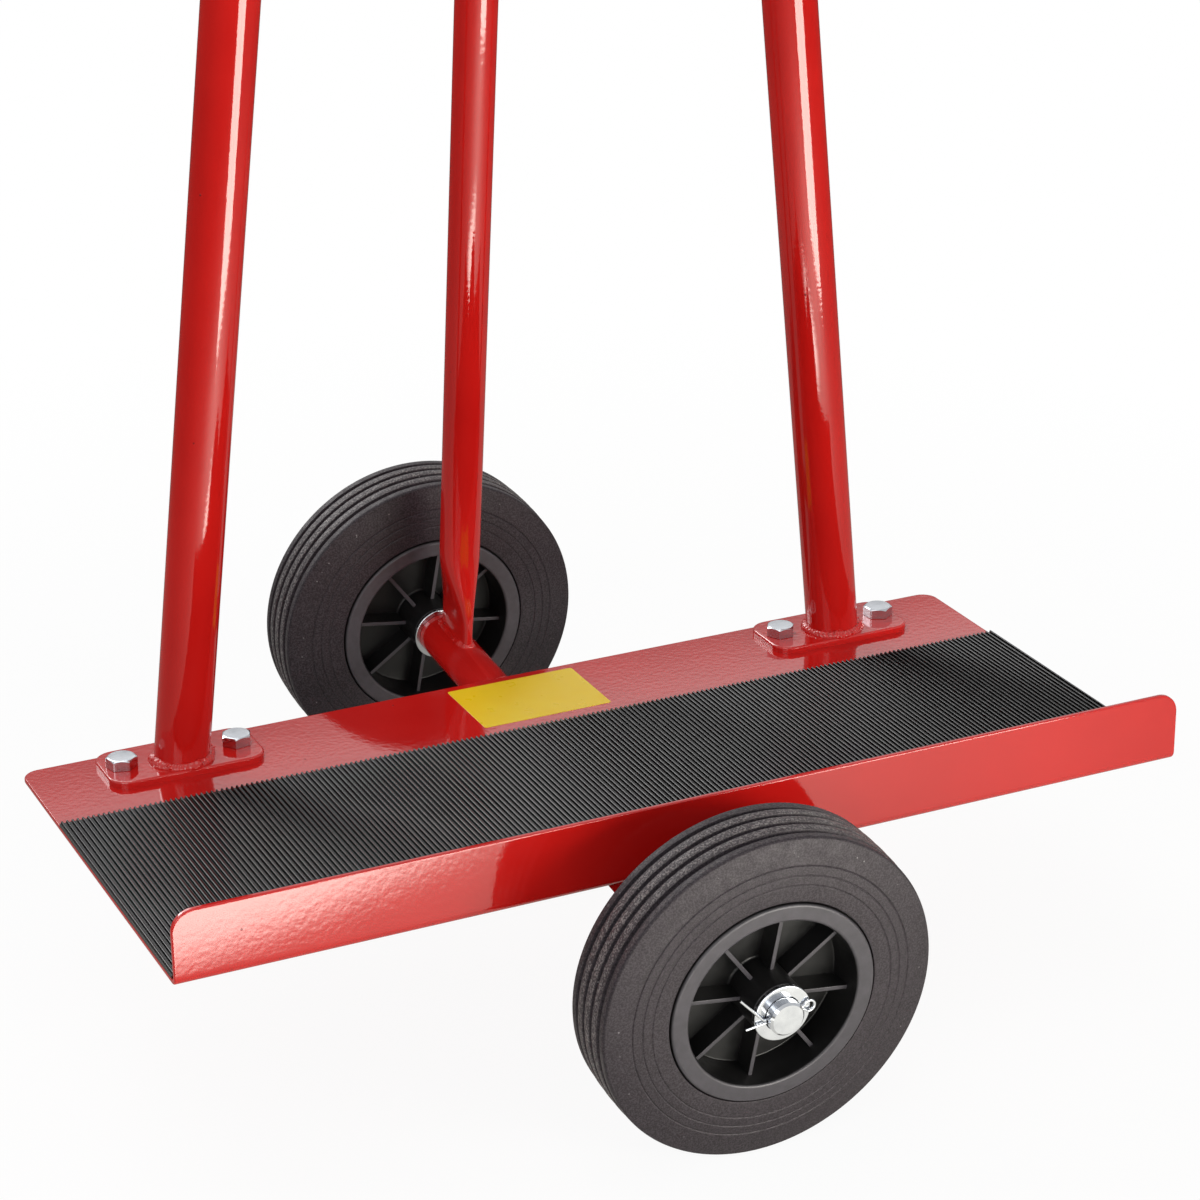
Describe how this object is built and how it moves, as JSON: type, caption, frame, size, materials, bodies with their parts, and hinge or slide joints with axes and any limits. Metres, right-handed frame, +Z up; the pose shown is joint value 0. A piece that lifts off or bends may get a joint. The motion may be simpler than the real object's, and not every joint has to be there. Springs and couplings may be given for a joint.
{
  "type": "panel trolley",
  "caption": "Panel trolley: a lipped platform with a ribbed mat, carried on an axle between solid-tyred wheels, with a bent tube frame behind the load and a brace down to the axle.",
  "frame": {"origin": "on the floor, under the middle of the axle", "axes": "+X along the platform, +Y to the rear, along the axle from the lip to the brace, +Z up"},
  "size_m": [0.6, 0.541, 1.06],
  "materials": {
    "red_paint": "glossy red paint over welded steel",
    "zinc_plate": "bright zinc plate",
    "mat_rubber": "black ribbed rubber",
    "rim_plastic": "dark grey moulded plastic",
    "tyre_rubber": "dark grey solid rubber, lightly dusty"
  },
  "bodies": {
    "chassis": {"platform": "red_paint", "frame_tube": "red_paint", "flange_left": "red_paint", "flange_right": "red_paint", "axle_tube": "red_paint", "axle_gusset": "red_paint", "brace": "red_paint", "flange_bolts": "zinc_plate", "flange_washers": "zinc_plate", "flange_nuts": "zinc_plate", "brace_bolt": "zinc_plate", "brace_washer_rear": "zinc_plate", "brace_washer_front": "zinc_plate", "brace_nut": "zinc_plate", "axle": "zinc_plate", "front_inner_washer": "zinc_plate", "front_outer_washer": "zinc_plate", "rear_inner_washer": "zinc_plate", "rear_outer_washer": "zinc_plate", "front_split_pin": "zinc_plate", "rear_split_pin": "zinc_plate", "rubber_mat": "mat_rubber"},
    "front_wheel": {"front_rim": "rim_plastic", "front_tyre": "tyre_rubber"},
    "rear_wheel": {"rear_rim": "rim_plastic", "rear_tyre": "tyre_rubber"}
  },
  "joints": [
    {"name": "front_wheel_spin", "type": "hinge", "parent": "chassis", "child": "front_wheel", "pos_m": [0, -0.23023, 0.0975], "axis": [0, 1, 0], "continuous": true},
    {"name": "rear_wheel_spin", "type": "hinge", "parent": "chassis", "child": "rear_wheel", "pos_m": [0, 0.23023, 0.0975], "axis": [0, 1, 0], "continuous": true}
  ]
}
